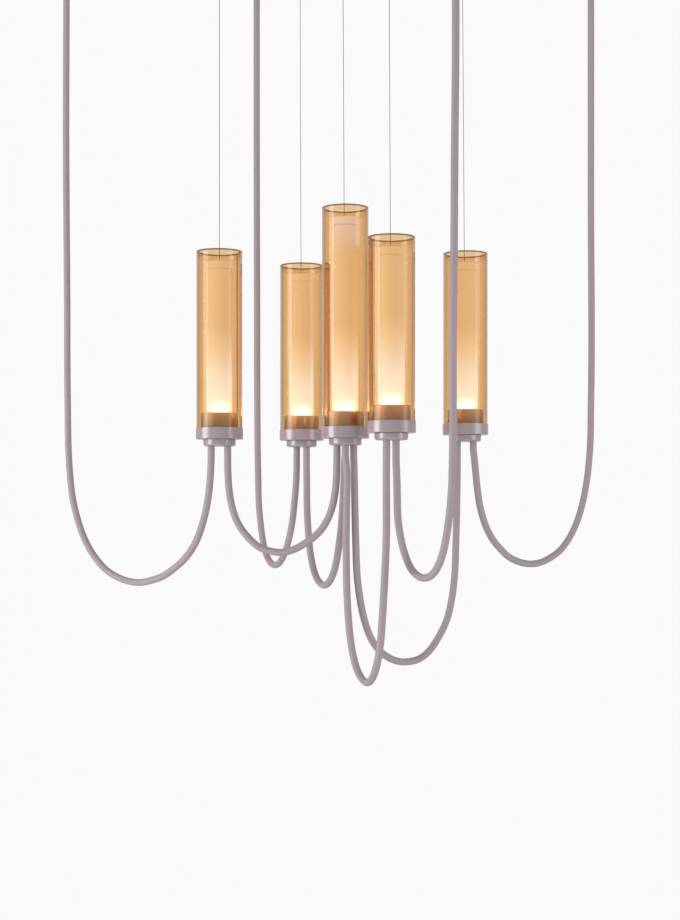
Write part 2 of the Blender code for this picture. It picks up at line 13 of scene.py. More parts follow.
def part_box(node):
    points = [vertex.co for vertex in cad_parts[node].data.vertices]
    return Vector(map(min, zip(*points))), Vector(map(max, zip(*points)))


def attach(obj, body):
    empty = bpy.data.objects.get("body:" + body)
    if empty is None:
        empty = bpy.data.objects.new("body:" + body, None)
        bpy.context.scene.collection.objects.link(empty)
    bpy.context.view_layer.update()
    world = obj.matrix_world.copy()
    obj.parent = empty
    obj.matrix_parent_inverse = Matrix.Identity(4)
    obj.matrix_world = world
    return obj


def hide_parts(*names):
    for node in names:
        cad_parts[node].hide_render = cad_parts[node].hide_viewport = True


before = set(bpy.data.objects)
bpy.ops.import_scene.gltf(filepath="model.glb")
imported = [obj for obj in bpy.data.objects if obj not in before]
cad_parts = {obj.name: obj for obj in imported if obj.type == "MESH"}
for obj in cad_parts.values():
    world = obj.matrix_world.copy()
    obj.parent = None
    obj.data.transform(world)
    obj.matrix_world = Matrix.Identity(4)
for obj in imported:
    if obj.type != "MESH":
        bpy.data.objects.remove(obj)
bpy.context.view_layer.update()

# Camera, as the photograph was taken
CAMERA_PLACE = (-0.0039, -2.491, -0.930)
CAMERA_LENS = 64.57
CAMERA_SENSOR = 36.0
CAMERA_SHIFT_UP = 0.0543

# Hoses and wires
HOSE_DIAMETER = 0.011
HOSE_SPACING = 0.003           # between the points along a hose
HOSE_ROUNDNESS = 7             # bevel resolution of the curve
WIRE_DIAMETER = 0.001
WIRE_ROUNDNESS = 3
CURVE_STEPS = 12               # pieces of a smooth curve between two of its points

# Route of each hose from one socket to the next
HOSE_ROUTES = {
    1: (
        (-0.4610, 0.2670, -0.0183), (-0.4610, 0.2670, -0.0361), (-0.4618, 0.2677, -0.3222),
        (-0.4597, 0.2658, -0.5787), (-0.4587, 0.2649, -0.7464), (-0.4548, 0.2614, -0.8631),
        (-0.4483, 0.2555, -0.9132), (-0.4387, 0.2469, -0.9469), (-0.4249, 0.2345, -0.9798),
        (-0.4051, 0.2167, -1.0086), (-0.3840, 0.1977, -1.0283), (-0.3632, 0.1790, -1.0390),
        (-0.3419, 0.1598, -1.0448), (-0.3214, 0.1413, -1.0456), (-0.3000, 0.1222, -1.0407),
        (-0.2808, 0.1048, -1.0333), (-0.2636, 0.0894, -1.0217), (-0.2472, 0.0746, -1.0078),
        (-0.2342, 0.0629, -0.9922), (-0.2246, 0.0543, -0.9757), (-0.2173, 0.0477, -0.9576),
        (-0.2095, 0.0407, -0.9297), (-0.2043, 0.0360, -0.8993), (-0.2017, 0.0337, -0.8689),
        (-0.2009, 0.0330, -0.8446), (-0.2009, 0.0330, -0.8268),
    ),
    2: (
        (-0.1757, 0.0330, -0.8268), (-0.1757, 0.0330, -0.8446), (-0.1754, 0.0329, -0.8689),
        (-0.1735, 0.0326, -0.8993), (-0.1677, 0.0314, -0.9297), (-0.1622, 0.0303, -0.9453),
        (-0.1537, 0.0286, -0.9601), (-0.1403, 0.0260, -0.9757), (-0.1276, 0.0235, -0.9864),
        (-0.1157, 0.0211, -0.9913), (-0.1038, 0.0188, -0.9938), (-0.0921, 0.0165, -0.9946),
        (-0.0804, 0.0142, -0.9922), (-0.0679, 0.0117, -0.9872), (-0.0570, 0.0096, -0.9806),
        (-0.0473, 0.0077, -0.9741), (-0.0320, 0.0046, -0.9593), (-0.0233, 0.0029, -0.9453),
        (-0.0167, 0.0016, -0.9289), (-0.0107, 0.0004, -0.8993), (-0.0089, 0.0001, -0.8689),
        (-0.0085, 0.0000, -0.8446), (-0.0085, 0.0000, -0.8268),
    ),
    3: (
        (-0.1480, 0.3630, -0.0183), (-0.1480, 0.3630, -0.0361), (-0.1478, 0.3605, -0.3230),
        (-0.1472, 0.3601, -0.5705), (-0.1468, 0.3598, -0.7382), (-0.1459, 0.3590, -0.8376),
        (-0.1454, 0.3586, -0.8606), (-0.1449, 0.3583, -0.8836), (-0.1445, 0.3576, -0.9058),
        (-0.1432, 0.3560, -0.9289), (-0.1410, 0.3535, -0.9511), (-0.1381, 0.3494, -0.9732),
        (-0.1339, 0.3414, -0.9946), (-0.1277, 0.3273, -1.0111), (-0.1200, 0.3084, -1.0209),
        (-0.1118, 0.2874, -1.0226), (-0.1040, 0.2671, -1.0168), (-0.0967, 0.2500, -1.0037),
        (-0.0904, 0.2380, -0.9856), (-0.0852, 0.2312, -0.9642), (-0.0815, 0.2281, -0.9420),
        (-0.0791, 0.2267, -0.9198), (-0.0769, 0.2259, -0.8968), (-0.0759, 0.2256, -0.8812),
        (-0.0751, 0.2255, -0.8388), (-0.0751, 0.2255, -0.8210),
    ),
    4: (
        (-0.0586, 0.2065, -0.8210), (-0.0586, 0.2065, -0.8388), (-0.0583, 0.2057, -0.8812),
        (-0.0576, 0.2034, -0.9297), (-0.0558, 0.1977, -0.9617), (-0.0526, 0.1879, -0.9946),
        (-0.0497, 0.1789, -1.0119), (-0.0456, 0.1661, -1.0283), (-0.0392, 0.1464, -1.0423),
        (-0.0342, 0.1309, -1.0472), (-0.0293, 0.1157, -1.0489), (-0.0241, 0.0998, -1.0464),
        (-0.0188, 0.0834, -1.0390), (-0.0127, 0.0644, -1.0234), (-0.0088, 0.0523, -1.0061),
        (-0.0057, 0.0426, -0.9864), (-0.0023, 0.0324, -0.9593), (-0.0000, 0.0252, -0.9289),
        (0.0022, 0.0184, -0.8836), (0.0034, 0.0145, -0.8516), (0.0041, 0.0126, -0.8446),
        (0.0041, 0.0126, -0.8268),
    ),
    5: (
        (0.0041, -0.0126, -0.8268), (0.0041, -0.0126, -0.8446), (0.0064, -0.0125, -0.8787),
        (0.0060, -0.0100, -0.9149), (0.0055, -0.0070, -0.9478), (0.0053, -0.0040, -0.9831),
        (0.0057, -0.0020, -1.0160), (0.0064, -0.0011, -1.0505), (0.0077, -0.0010, -1.0776),
        (0.0095, -0.0015, -1.1031), (0.0120, -0.0026, -1.1261), (0.0161, -0.0060, -1.1500),
        (0.0218, -0.0165, -1.1697), (0.0295, -0.0359, -1.1820), (0.0380, -0.0630, -1.1837),
        (0.0452, -0.0839, -1.1713), (0.0508, -0.0950, -1.1492), (0.0546, -0.0980, -1.1245),
        (0.0568, -0.0975, -1.0982), (0.0588, -0.0956, -1.0678), (0.0606, -0.0930, -1.0374),
        (0.0619, -0.0910, -1.0102), (0.0631, -0.0890, -0.9839), (0.0638, -0.0870, -0.9552),
        (0.0638, -0.0850, -0.9272), (0.0637, -0.0830, -0.9009), (0.0638, -0.0819, -0.8713),
        (0.0641, -0.0813, -0.8397), (0.0641, -0.0813, -0.8219),
    ),
    6: (
        (0.0167, 0.0000, -0.8268), (0.0167, 0.0000, -0.8446), (0.0173, 0.0005, -0.8697),
        (0.0183, 0.0012, -0.9149), (0.0198, 0.0023, -0.9749), (0.0226, 0.0044, -1.0357),
        (0.0266, 0.0073, -1.0661), (0.0332, 0.0122, -1.0974), (0.0441, 0.0203, -1.1270),
        (0.0550, 0.0283, -1.1434), (0.0659, 0.0364, -1.1533), (0.0769, 0.0444, -1.1598),
        (0.0893, 0.0536, -1.1640), (0.1020, 0.0629, -1.1648), (0.1146, 0.0722, -1.1631),
        (0.1258, 0.0805, -1.1582), (0.1366, 0.0884, -1.1492), (0.1488, 0.0975, -1.1327),
        (0.1572, 0.1037, -1.1187), (0.1643, 0.1089, -1.1031), (0.1723, 0.1148, -1.0719),
        (0.1767, 0.1181, -1.0407), (0.1796, 0.1202, -0.9774), (0.1812, 0.1214, -0.9141),
        (0.1820, 0.1220, -0.8339), (0.1820, 0.1220, -0.8161),
    ),
    7: (
        (0.0786, -0.0607, -0.8219), (0.0786, -0.0607, -0.8397), (0.0788, -0.0606, -0.8615),
        (0.0799, -0.0606, -0.8894), (0.0803, -0.0608, -0.9083), (0.0806, -0.0608, -0.9272),
        (0.0817, -0.0606, -0.9453), (0.0843, -0.0604, -0.9642), (0.0879, -0.0612, -0.9823),
        (0.0930, -0.0649, -0.9996), (0.0992, -0.0739, -1.0143), (0.1071, -0.0870, -1.0242),
        (0.1158, -0.1028, -1.0283), (0.1247, -0.1188, -1.0259), (0.1326, -0.1328, -1.0168),
        (0.1388, -0.1430, -1.0028), (0.1436, -0.1479, -0.9856), (0.1471, -0.1497, -0.9675),
        (0.1499, -0.1498, -0.9486), (0.1522, -0.1499, -0.9305), (0.1538, -0.1499, -0.9116),
        (0.1550, -0.1500, -0.8935), (0.1555, -0.1500, -0.8746), (0.1560, -0.1500, -0.8565),
        (0.1563, -0.1500, -0.8376), (0.1563, -0.1501, -0.7020), (0.1579, -0.1500, -0.5622),
        (0.1588, -0.1501, -0.4184), (0.1601, -0.1500, -0.2902), (0.1598, -0.1500, -0.0361),
        (0.1598, -0.1500, -0.0183),
    ),
    8: (
        (0.2072, 0.1220, -0.8161), (0.2072, 0.1220, -0.8339), (0.2087, 0.1232, -0.8467),
        (0.2111, 0.1250, -0.8689), (0.2144, 0.1277, -0.8993), (0.2199, 0.1321, -0.9297),
        (0.2312, 0.1410, -0.9617), (0.2411, 0.1489, -0.9782), (0.2549, 0.1598, -0.9938),
        (0.2676, 0.1699, -1.0053), (0.2803, 0.1800, -1.0119), (0.3012, 0.1966, -1.0176),
        (0.3222, 0.2132, -1.0168), (0.3432, 0.2299, -1.0086), (0.3616, 0.2445, -0.9963),
        (0.3758, 0.2557, -0.9798), (0.3855, 0.2635, -0.9642), (0.3936, 0.2698, -0.9469),
        (0.4044, 0.2784, -0.9132), (0.4111, 0.2838, -0.8804), (0.4169, 0.2883, -0.8294),
        (0.4192, 0.2902, -0.7447), (0.4190, 0.2900, -0.4077), (0.4190, 0.2900, -0.0361),
        (0.4190, 0.2900, -0.0183),
    ),
}

# Body that stays, and the numbers of the lamps and ceiling cups
STILL = "frame"
LAMPS = (1, 2, 3, 4, 5)
LONG_LAMP = 3
CUPS = (1, 3, 7, 8)

# Heights in a lamp are above the underside of its base ring
GAP = 0.0003
RING_RADIUS = 0.036
RING_HEIGHT = 0.0174
RING_FLOOR = 0.004
RING_SEAT_RADIUS = 0.0353
RING_SHELF = 0.0144
RING_BOSS_HOLE = 0.0073
CAVITY_RADIUS = 0.024
GLASS_RADIUS = 0.035
GLASS_BORE_RADIUS = 0.0325
GLASS_FOOT = RING_SHELF + GAP
GLASS_RISE = 0.270
LONG_GLASS_RISE = 0.331
SINK_RADIUS = 0.0285
SINK_TOP = 0.0399
SINK_FLOOR = 0.0374
SINK_RECESS_RADIUS = 0.020
SINK_HOLE_RADIUS = 0.0015
SPIGOT_RADIUS = 0.0236
SPIGOT_END = 0.0124
DIFFUSER_RADIUS = 0.0195
DIFFUSER_WALL = 0.002
DIFFUSER_SETBACK = 0.0155
DIFFUSER_EYE_RADIUS = 0.0043
DIFFUSER_CAP_LINE = 0.0125     # groove below its top
DIFFUSER_GROOVE = 0.0004
BOARD_RADIUS = 0.015
BOARD_THICKNESS = 0.0016
BOARD_EYE_RADIUS = 0.002
CHIP_COUNT = 6
CHIP_RING_RADIUS = 0.009
CHIP_SIDE = 0.0035
CHIP_HEIGHT = 0.0008
HUB_RADIUS = 0.0247
HUB_HEIGHT = 0.0105
HUB_CHAMFER = 0.0018
BOSS_RADIUS = 0.007
SOCKET_RADIUS = 0.0058
SOCKET_DEPTH = 0.006
LEAD_RADIUS = 0.0025
WIRE_FOOT_DROP = 0.003         # of a wire's foot below the collar

# Ceiling fittings, below the ceiling
CUP_RADIUS = 0.028
CUP_HEIGHT = 0.024
CUP_WALL = 0.002
CUP_FLOOR = 0.015
DISC_RADIUS = 0.0257
DISC_THICKNESS = 0.002
DISC_HOLE_RADIUS = 0.005
DISC_SCREW_PLACE = 0.018
DISC_SCREW_RADIUS = 0.002
FLANGE_RADIUS = 0.012
FLANGE_THICKNESS = 0.003
FLANGE_SCREW_PLACE = 0.009
FLANGE_SCREW_RADIUS = 0.00175
GRIPPER_RADIUS = 0.006
GRIPPER_LENGTH = 0.020
GRIPPER_NOSE_RADIUS = 0.003
GRIPPER_NOSE_LENGTH = 0.004
GRIPPER_BORE_RADIUS = 0.0009
GRIPPER_ROOF = 0.006

# Rounded edges: the number of a corner in the outline, with its radius and segments
GLASS_ROUNDS = {0: (0.0010, 4), 3: (0.0010, 4), 1: (0.0004, 2), 2: (0.0004, 2)}
DIFFUSER_ROUNDS = {1: (0.0025, 6), 0: (0.0005, 2), 5: (0.0003, 2)}
SINK_ROUNDS = {3: (0.0010, 4), 2: (0.0003, 2), 4: (0.0004, 2)}
BOARD_ROUNDS = {0: (0.0002, 2)}
CHIP_ROUND = 0.0002
RING_ROUNDS = {5: (0.0004, 3), 6: (0.0008, 4)}
HUB_ROUNDS = {3: (0.0004, 2), 4: (0.0010, 3), 5: (0.0010, 3)}
CUP_ROUNDS = {1: (0.0016, 5), 2: (0.0004, 2), 0: (0.0003, 2)}
DISC_ROUNDS = {0: (0.0003, 2), 3: (0.0003, 2)}
GRIPPER_ROUNDS = {2: (0.0006, 3), 3: (0.0008, 3), 4: (0.0010, 4), 5: (0.0005, 2)}

# Sides and joins of turned pieces
GLASS_SIDES = 128
TURNED_SIDES = 96
FITTING_SIDES = 64
ROD_SIDES = 32
SHARP_ANGLE = math.radians(35)
FLANK = 1.6                    # of a corner's radius, to the points beside it
OVERRUN = 0.002                # of a drill past the faces that it cuts
WELD = 1e-6                    # points nearer than this are one
CORNER_REACH = 10 * WELD       # an edge this near to a corner was turned from it

# Amber glass: its tints at one face of the wall, then the line of its rim
GLASS_INDEX = 1.47
GLASS_TINT_PALE = (0.935, 0.705, 0.435)
GLASS_TINT_DEEP = (0.900, 0.665, 0.395)
GLASS_TINT_TOP = (0.820, 0.580, 0.315)
GLASS_TINT_EDGE = (0.36, 0.13, 0.03)
GLASS_EDGE_POWER = 2.5
GLASS_TOP_BAND = 0.0120        # down to here from the rim the glass looks deeper
GLASS_TOP_FADE = 0.0030
GLASS_RIM = (0.50, 0.33, 0.20)
GLASS_RIM_STRENGTH = 0.85
GLASS_RIM_BAND = 0.0028        # down to here from the rim a film makes the line
GLASS_RIM_FADE = 0.0010
GLASS_FILM = (0.945, 0.830, 0.665)

# Frosted diffuser: its tones, its glow by the share of a rise, and what changes the glow
DIFFUSER_TONES = ((0.60, 0.58, 0.56), (0.66, 0.64, 0.62))
DIFFUSER_GLOW_RISE = 0.130
DIFFUSER_GLOW_STRENGTH = 2.6
DIFFUSER_GLOW = (
    (0.000, (1.00, 1.00, 1.00)), (0.065, (0.92, 0.93, 0.96)), (0.100, (0.52, 0.56, 0.66)),
    (0.150, (0.36, 0.39, 0.49)), (0.210, (0.315, 0.35, 0.475)), (0.320, (0.29, 0.32, 0.41)),
    (0.500, (0.24, 0.272, 0.325)), (0.730, (0.225, 0.200, 0.185)),
    (1.000, (0.175, 0.145, 0.108)))
DIFFUSER_PALE_RISE = 0.235     # above here the long diffuser looks paler
DIFFUSER_PALE_FADE = 0.045
DIFFUSER_PALE_GLOW = (0.169, 0.175, 0.250)
# painted shade: the glow darkens to this in the groove of the cap line
DIFFUSER_GROOVE_SHADE = (0.120, 0.086, 0.056)
DIFFUSER_LINE_SPREAD = 0.0008  # of the painted shade around the cap line
DIFFUSER_LINE_REACH = 1.4      # spreads from the line to the end of its painted shade
DIFFUSER_SIDE_GLOW = (0.300, 0.310, 0.340)
DIFFUSER_SIDE_START = 0.08     # where the sides start, from 0 in the middle to 1 at the edge
DIFFUSER_SIDE_GAIN = 2.4
DIFFUSER_HOT_RISE = 0.060      # up to here the middle looks hotter than the sides

# Turned collar
COLLAR_TONES = ((0.46, 0.395, 0.415), (0.60, 0.515, 0.54))
COLLAR_FINE_SHARE = 0.6        # of the fine tool lines in its tone
COLLAR_BROAD_SHARE = 0.4
# painted light: the collar's colour turns paler towards its top, where the diffuser's glow
# falls
COLLAR_PAINTED_LIGHT = (0.98, 0.86, 0.88)
COLLAR_PAINTED_LIGHT_POWER = 1.6

# Tones of the other finishes, the first where their noise is low
PAINT_TONES = ((0.395, 0.315, 0.345), (0.445, 0.360, 0.388))
PAINT_INDEX = 2.05
HOSE_TONES = ((0.430, 0.360, 0.390), (0.485, 0.410, 0.440))
HOSE_GRAIN_TONE = (0.37, 0.31, 0.335)
HOSE_GRAIN_SHARE = 0.25
WIRE_TONES = ((0.16, 0.15, 0.15), (0.36, 0.35, 0.35))
NICKEL_TONES = ((0.62, 0.58, 0.50), (0.74, 0.70, 0.62))
ZINC_TONES = ((0.42, 0.43, 0.45), (0.58, 0.59, 0.62))
BOARD_TONES = ((0.80, 0.80, 0.77), (0.90, 0.90, 0.88))
CHIP_TONES = ((0.80, 0.60, 0.16), (0.90, 0.74, 0.30))
CHIP_GLOWS = ((1.00, 0.86, 0.62), (1.00, 0.92, 0.74))
CHIP_GLOW_STRENGTH = 3.0
MOULDED_TONES = ((0.76, 0.76, 0.73), (0.84, 0.84, 0.81))
FLOOR_TONES = ((0.90, 0.90, 0.91), (0.93, 0.93, 0.94))
CLEAR = (1.0, 1.0, 1.0)

# Room
FLOOR_HEIGHT = -2.10
FLOOR_SIZE = 12.0
FLOOR_FADE_START = 0.6         # distance from the origin
FLOOR_FADE = 2.4
ROOM_WHITE = (0.960, 0.950, 0.965, 1.0)
ROOM_MIRRORED = 0.50           # strength in reflections
ROOM_MIRRORED_FAR = 0.30       # added to it on the far side
ROOM_FAR_START = 0.60          # where the far side starts, with 1 straight back
ROOM_FAR_GAIN = 2.5
ROOM_SOFT_LIGHT = 0.43         # strength as light on the pieces
LIGHT_TARGET = Vector((0.0, 0.1, -0.95))
SOFT_LIGHTS = (
    # name, place, width, height, power
    ("left softbox", (-2.7, -0.90, -1.05), 1.4, 2.4, 42.0),
    ("right softbox", (2.5, -1.15, -1.05), 1.4, 2.4, 19.0),
    ("top softbox", (0.0, -0.4, 1.8), 2.4, 2.4, 4.0),
    ("low front softbox", (0.0, -2.4, -2.4), 3.0, 1.4, 17.0),
)


# Sockets of a Mix node between colours
MIX_FIRST = 6
MIX_SECOND = 7
MIX_RESULT = 2


# Shader maths
class Signal:
    """An output of a node, with the operators of shader maths."""

    def __init__(self, finish, socket):
        self.finish = finish
        self.socket = socket

    def maths(self, operation, *terms, clamp=False):
        """The output of a Math node on some terms."""
        return self.finish.add("Math", dict(enumerate(terms)), operation=operation,
                               use_clamp=clamp)

    def __add__(self, other):
        return self.maths("ADD", self, other)

    def __radd__(self, other):
        return self.maths("ADD", other, self)

    def __sub__(self, other):
        return self.maths("SUBTRACT", self, other)

    def __rsub__(self, other):
        return self.maths("SUBTRACT", other, self)

    def __mul__(self, other):
        return self.maths("MULTIPLY", self, other)

    def __rmul__(self, other):
        return self.maths("MULTIPLY", other, self)

    def __truediv__(self, other):
        return self.maths("DIVIDE", self, other)

    def __pow__(self, other):
        return self.maths("POWER", self, other)

    def size(self):
        """Its size without a sign."""
        return self.maths("ABSOLUTE", self)

    def clamped(self):
        """Kept from 0 to 1."""
        return self.maths("ADD", self, 0.0, clamp=True)

    def most(self, other):
        """The greater of two."""
        return self.maths("MAXIMUM", self, other)


class Finish:
    """The nodes of a material or of the room's surroundings."""

    def __init__(self, owner):
        self.owner = owner
        owner.use_nodes = True
        self.tree = owner.node_tree
        self.tree.nodes.clear()

    def add(self, kind, values=None, output=0, stops=None, **settings):
        """Adds a node: its settings first, then the values or links of its sockets."""
        node = self.tree.nodes.new("ShaderNode" + kind)
        for name, value in settings.items():
            setattr(node, name, value)
        if stops:
            elements = node.color_ramp.elements
            while len(elements) < len(stops):
                elements.new(1.0)
            for element, (place, colour) in zip(elements, stops):
                element.position = place
                element.color = (*colour, 1.0)
        for name, value in (values or {}).items():
            if isinstance(value, Signal):
                self.tree.links.new(value.socket, node.inputs[name])
            else:
                node.inputs[name].default_value = value
        return Signal(self, node.outputs[output]) if node.outputs else None

    def mixed(self, factor, first, second):
        """A colour between two colours."""
        terms = {0: factor}
        for place, colour in ((MIX_FIRST, first), (MIX_SECOND, second)):
            terms[place] = colour if isinstance(colour, Signal) else (*colour, 1.0)
        return self.add("Mix", terms, MIX_RESULT, data_type="RGBA")

    def place(self, scale=(1.0, 1.0, 1.0)):
        """Object coordinates, scaled."""
        place = self.add("TexCoord", output="Object")
        return self.add("Mapping", {"Vector": place, "Scale": scale})

    def noise(self, vector, scale, detail=2.0, roughness=0.5):
        """Smooth noise from 0 to 1."""
        return self.add("TexNoise", {"Vector": vector, "Scale": scale, "Detail": detail,
                                     "Roughness": roughness})

    def own(self, name):
        """A number that the mesh keeps at each of its points."""
        return self.add("Attribute", attribute_name=name, output="Fac")

    def tool_lines(self, pitch, detail):
        """Noise along the outline of a turned piece, the same all around it."""
        return self.add("TexNoise", {"W": self.own("outline") * pitch, "Scale": 1.0,
                                     "Detail": detail}, noise_dimensions="1D")

    def ridge(self, height, strength, distance):
        """A normal with a bump."""
        return self.add("Bump", {"Height": height, "Strength": strength,
                                 "Distance": distance})

    def plain(self, **values):
        """The plain shader; socket names have underscores for spaces."""
        return self.add("BsdfPrincipled",
                        {name.replace("_", " "): value for name, value in values.items()})

    def film(self, colour):
        """A coloured film that bends no light."""
        return self.add("BsdfTransparent", {"Color": (*colour, 1.0)})

    def blend(self, factor, first, second):
        """A shader between two shaders."""
        return self.add("MixShader", {0: factor, 1: first, 2: second})

    def done(self, shader, kind="OutputMaterial"):
        """Joins a shader to the output."""
        self.add(kind, {"Surface": shader})
        return self.owner


def new_finish(name):
    """An empty finish for a new material."""
    return Finish(bpy.data.materials.new(name))


# Finishes
def amber_glass():
    """Clear amber glass, drawn a little unevenly, deeper near its rim and where it is seen
    along its wall, with a film that makes the line of the rim. Light from the lamps and
    bounced light pass straight through a paler film."""
    glass = new_finish("amber glass")
    waves = glass.noise(glass.place(scale=(1.0, 1.0, 0.15)), scale=12.0, detail=1.0)
    along = glass.add("LayerWeight", {"Blend": 0.5}, "Facing")
    tint = glass.mixed(waves, GLASS_TINT_DEEP, GLASS_TINT_PALE)
    top = ((GLASS_TOP_BAND - glass.own("depth")) / GLASS_TOP_FADE).clamped()
    tint = glass.mixed(top, tint, GLASS_TINT_TOP)
    tint = glass.mixed(along ** GLASS_EDGE_POWER, tint, GLASS_TINT_EDGE)
    clear = glass.plain(Base_Color=tint, Roughness=0.0, IOR=GLASS_INDEX,
                        Transmission_Weight=1.0,
                        Normal=glass.ridge(waves, strength=0.02, distance=0.0010))
    rim = ((GLASS_RIM_BAND - glass.own("depth")) / GLASS_RIM_FADE).clamped()
    clear = glass.blend(rim * GLASS_RIM_STRENGTH, clear, glass.film(GLASS_RIM))
    shadow = glass.add("LightPath", output="Is Shadow Ray")
    bounced = glass.add("LightPath", output="Is Diffuse Ray")
    return glass.done(glass.blend(shadow.most(bounced), clear, glass.film(GLASS_FILM)))


def frosted_diffuser():
    """Frosted white tube, lit from its foot by the light board inside, with painted shade in
    the groove of its cap line.
    """
    frost = new_finish("frosted diffuser")
    grain = frost.noise(frost.place(), scale=1400.0, detail=2.0)
    cloud = frost.noise(frost.place(scale=(1.0, 1.0, 0.3)), scale=30.0, detail=2.0)
    glow = frost.add("ValToRGB", {"Fac": frost.own("rise") / DIFFUSER_GLOW_RISE},
                     stops=DIFFUSER_GLOW)
    far_up = ((frost.own("rise") - DIFFUSER_PALE_RISE) / DIFFUSER_PALE_FADE).clamped()
    glow = frost.mixed(far_up, glow, DIFFUSER_PALE_GLOW)
    # painted shade along the groove of the cap line
    off_line = (frost.own("depth") - (DIFFUSER_CAP_LINE + DIFFUSER_GROOVE)).size()
    line = (DIFFUSER_LINE_REACH - off_line / DIFFUSER_LINE_SPREAD).clamped()
    glow = frost.mixed(line, glow, DIFFUSER_GROOVE_SHADE)
    facing = frost.add("LayerWeight", {"Blend": 0.5}, "Facing")
    aside = ((facing - DIFFUSER_SIDE_START) * DIFFUSER_SIDE_GAIN).clamped()
    low = (1.0 - frost.own("rise") / DIFFUSER_HOT_RISE).clamped()
    glow = frost.mixed(aside * low, glow, DIFFUSER_SIDE_GLOW)
    return frost.done(frost.plain(
        Base_Color=frost.mixed(cloud, *DIFFUSER_TONES), Roughness=0.45 + 0.2 * grain,
        IOR=GLASS_INDEX, Emission_Color=glow, Emission_Strength=DIFFUSER_GLOW_STRENGTH,
        Normal=frost.ridge(grain, strength=0.15, distance=0.0001)))


def turned_aluminium():
    """Turned metal with fine tool lines around it, with painted light that makes it paler
    towards the glowing diffuser above it.
    """
    metal = new_finish("turned aluminium")
    lines = metal.tool_lines(pitch=4200.0, detail=3.0)
    broad = metal.tool_lines(pitch=260.0, detail=1.0)
    smudge = metal.noise(metal.place(), scale=55.0, detail=3.0)
    tone = lines * COLLAR_FINE_SHARE + broad * COLLAR_BROAD_SHARE
    # painted light: paler towards the top, for the glow of the diffuser above
    lit = (metal.own("rise") / (SINK_TOP - RING_HEIGHT)).clamped() ** COLLAR_PAINTED_LIGHT_POWER
    colour = metal.mixed(lit, metal.mixed(tone, *COLLAR_TONES), COLLAR_PAINTED_LIGHT)
    return metal.done(metal.plain(
        Base_Color=colour, Metallic=1.0, Roughness=0.23 + 0.08 * lines + 0.05 * smudge,
        Normal=metal.ridge(lines, strength=0.25, distance=0.00008)))


def satin_paint():
    """Satin mauve grey paint with a fine texture."""
    paint = new_finish("satin grey paint")
    peel = paint.noise(paint.place(), scale=900.0, detail=2.0)
    cloud = paint.noise(paint.place(), scale=26.0, detail=3.0)
    return paint.done(paint.plain(
        Base_Color=paint.mixed(cloud, *PAINT_TONES), IOR=PAINT_INDEX,
        Roughness=0.18 + 0.10 * cloud + 0.06 * peel,
        Normal=paint.ridge(peel, strength=0.12, distance=0.00012)))


def grey_hose():
    """Matte grey hose skin with a fine grain."""
    skin = new_finish("grey hose")
    grain = skin.noise(skin.place(), scale=1100.0, detail=3.0)
    cloud = skin.noise(skin.place(), scale=18.0, detail=3.0)
    colour = skin.mixed(cloud, *HOSE_TONES)
    colour = skin.mixed(grain * HOSE_GRAIN_SHARE, colour, HOSE_GRAIN_TONE)
    return skin.done(skin.plain(
        Base_Color=colour, Roughness=0.46 + 0.14 * grain,
        Normal=skin.ridge(grain, strength=0.20, distance=0.00015)))


def steel_wire():
    """Bright steel cable with the twist of its strands."""
    cable = new_finish("twisted steel wire")
    twist = cable.add("TexWave", {"Vector": cable.place(scale=(1.0, 1.0, 0.35)),
                                  "Scale": 700.0, "Distortion": 0.0},
                      wave_type="BANDS", bands_direction="DIAGONAL", output="Fac")
    return cable.done(cable.plain(
        Base_Color=cable.mixed(twist, *WIRE_TONES), Metallic=1.0,
        Roughness=0.36 + 0.12 * twist,
        Normal=cable.ridge(twist, strength=0.6, distance=0.0001)))


def plated_metal(name, tones, rough):
    """Plated metal with faint tool lines."""
    plate = new_finish(name)
    lines = plate.tool_lines(pitch=3200.0, detail=2.0)
    stain = plate.noise(plate.place(), scale=160.0, detail=4.0, roughness=0.6)
    return plate.done(plate.plain(
        Base_Color=plate.mixed(stain, *tones), Metallic=1.0,
        Roughness=rough + 0.10 * stain + 0.05 * lines,
        Normal=plate.ridge(lines, strength=0.15, distance=0.00006)))


def white_surface(name, tones, scale, rough, strength):
    """White solder mask or moulded plastic with a fine grain."""
    white = new_finish(name)
    grain = white.noise(white.place(), scale, detail=2.0)
    return white.done(white.plain(
        Base_Color=white.mixed(grain, *tones), Roughness=rough + 0.1 * grain,
        Normal=white.ridge(grain, strength, distance=0.0001)))


def light_chip():
    """Yellow phosphor of a light chip, lit."""
    chip = new_finish("light chip")
    grain = chip.noise(chip.place(), scale=2500.0, detail=2.0)
    return chip.done(chip.plain(
        Base_Color=chip.mixed(grain, *CHIP_TONES), Roughness=0.5,
        Emission_Color=chip.mixed(grain, *CHIP_GLOWS),
        Emission_Strength=CHIP_GLOW_STRENGTH))


AMBER = amber_glass()
FROSTED = frosted_diffuser()
TURNED = turned_aluminium()
PAINTED = satin_paint()
HOSE_SKIN = grey_hose()
STEEL = steel_wire()
NICKEL = plated_metal("nickel plate", NICKEL_TONES, rough=0.22)
ZINC = plated_metal("zinc plate", ZINC_TONES, rough=0.34)
BOARD = white_surface("white light board", BOARD_TONES, scale=900.0, rough=0.32,
                      strength=0.1)
CHIP = light_chip()
MOULDED = white_surface("moulded white plastic", MOULDED_TONES, scale=700.0, rough=0.42,
                        strength=0.15)


# Pieces
def add_piece(name, data, material, body, node):
    """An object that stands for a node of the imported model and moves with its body."""
    piece = bpy.data.objects.new(name, data)
    bpy.context.scene.collection.objects.link(piece)
    if material.name not in data.materials:
        data.materials.append(material)
    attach(piece, body)
    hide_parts(node)
    return piece


def foot_of(node):
    """The middle of a node's underside."""
    low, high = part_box(node)
    return Vector(((low.x + high.x) / 2, (low.y + high.y) / 2, low.z))


def head_of(node):
    """The middle of a node's top."""
    low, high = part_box(node)
    return Vector(((low.x + high.x) / 2, (low.y + high.y) / 2, high.z))


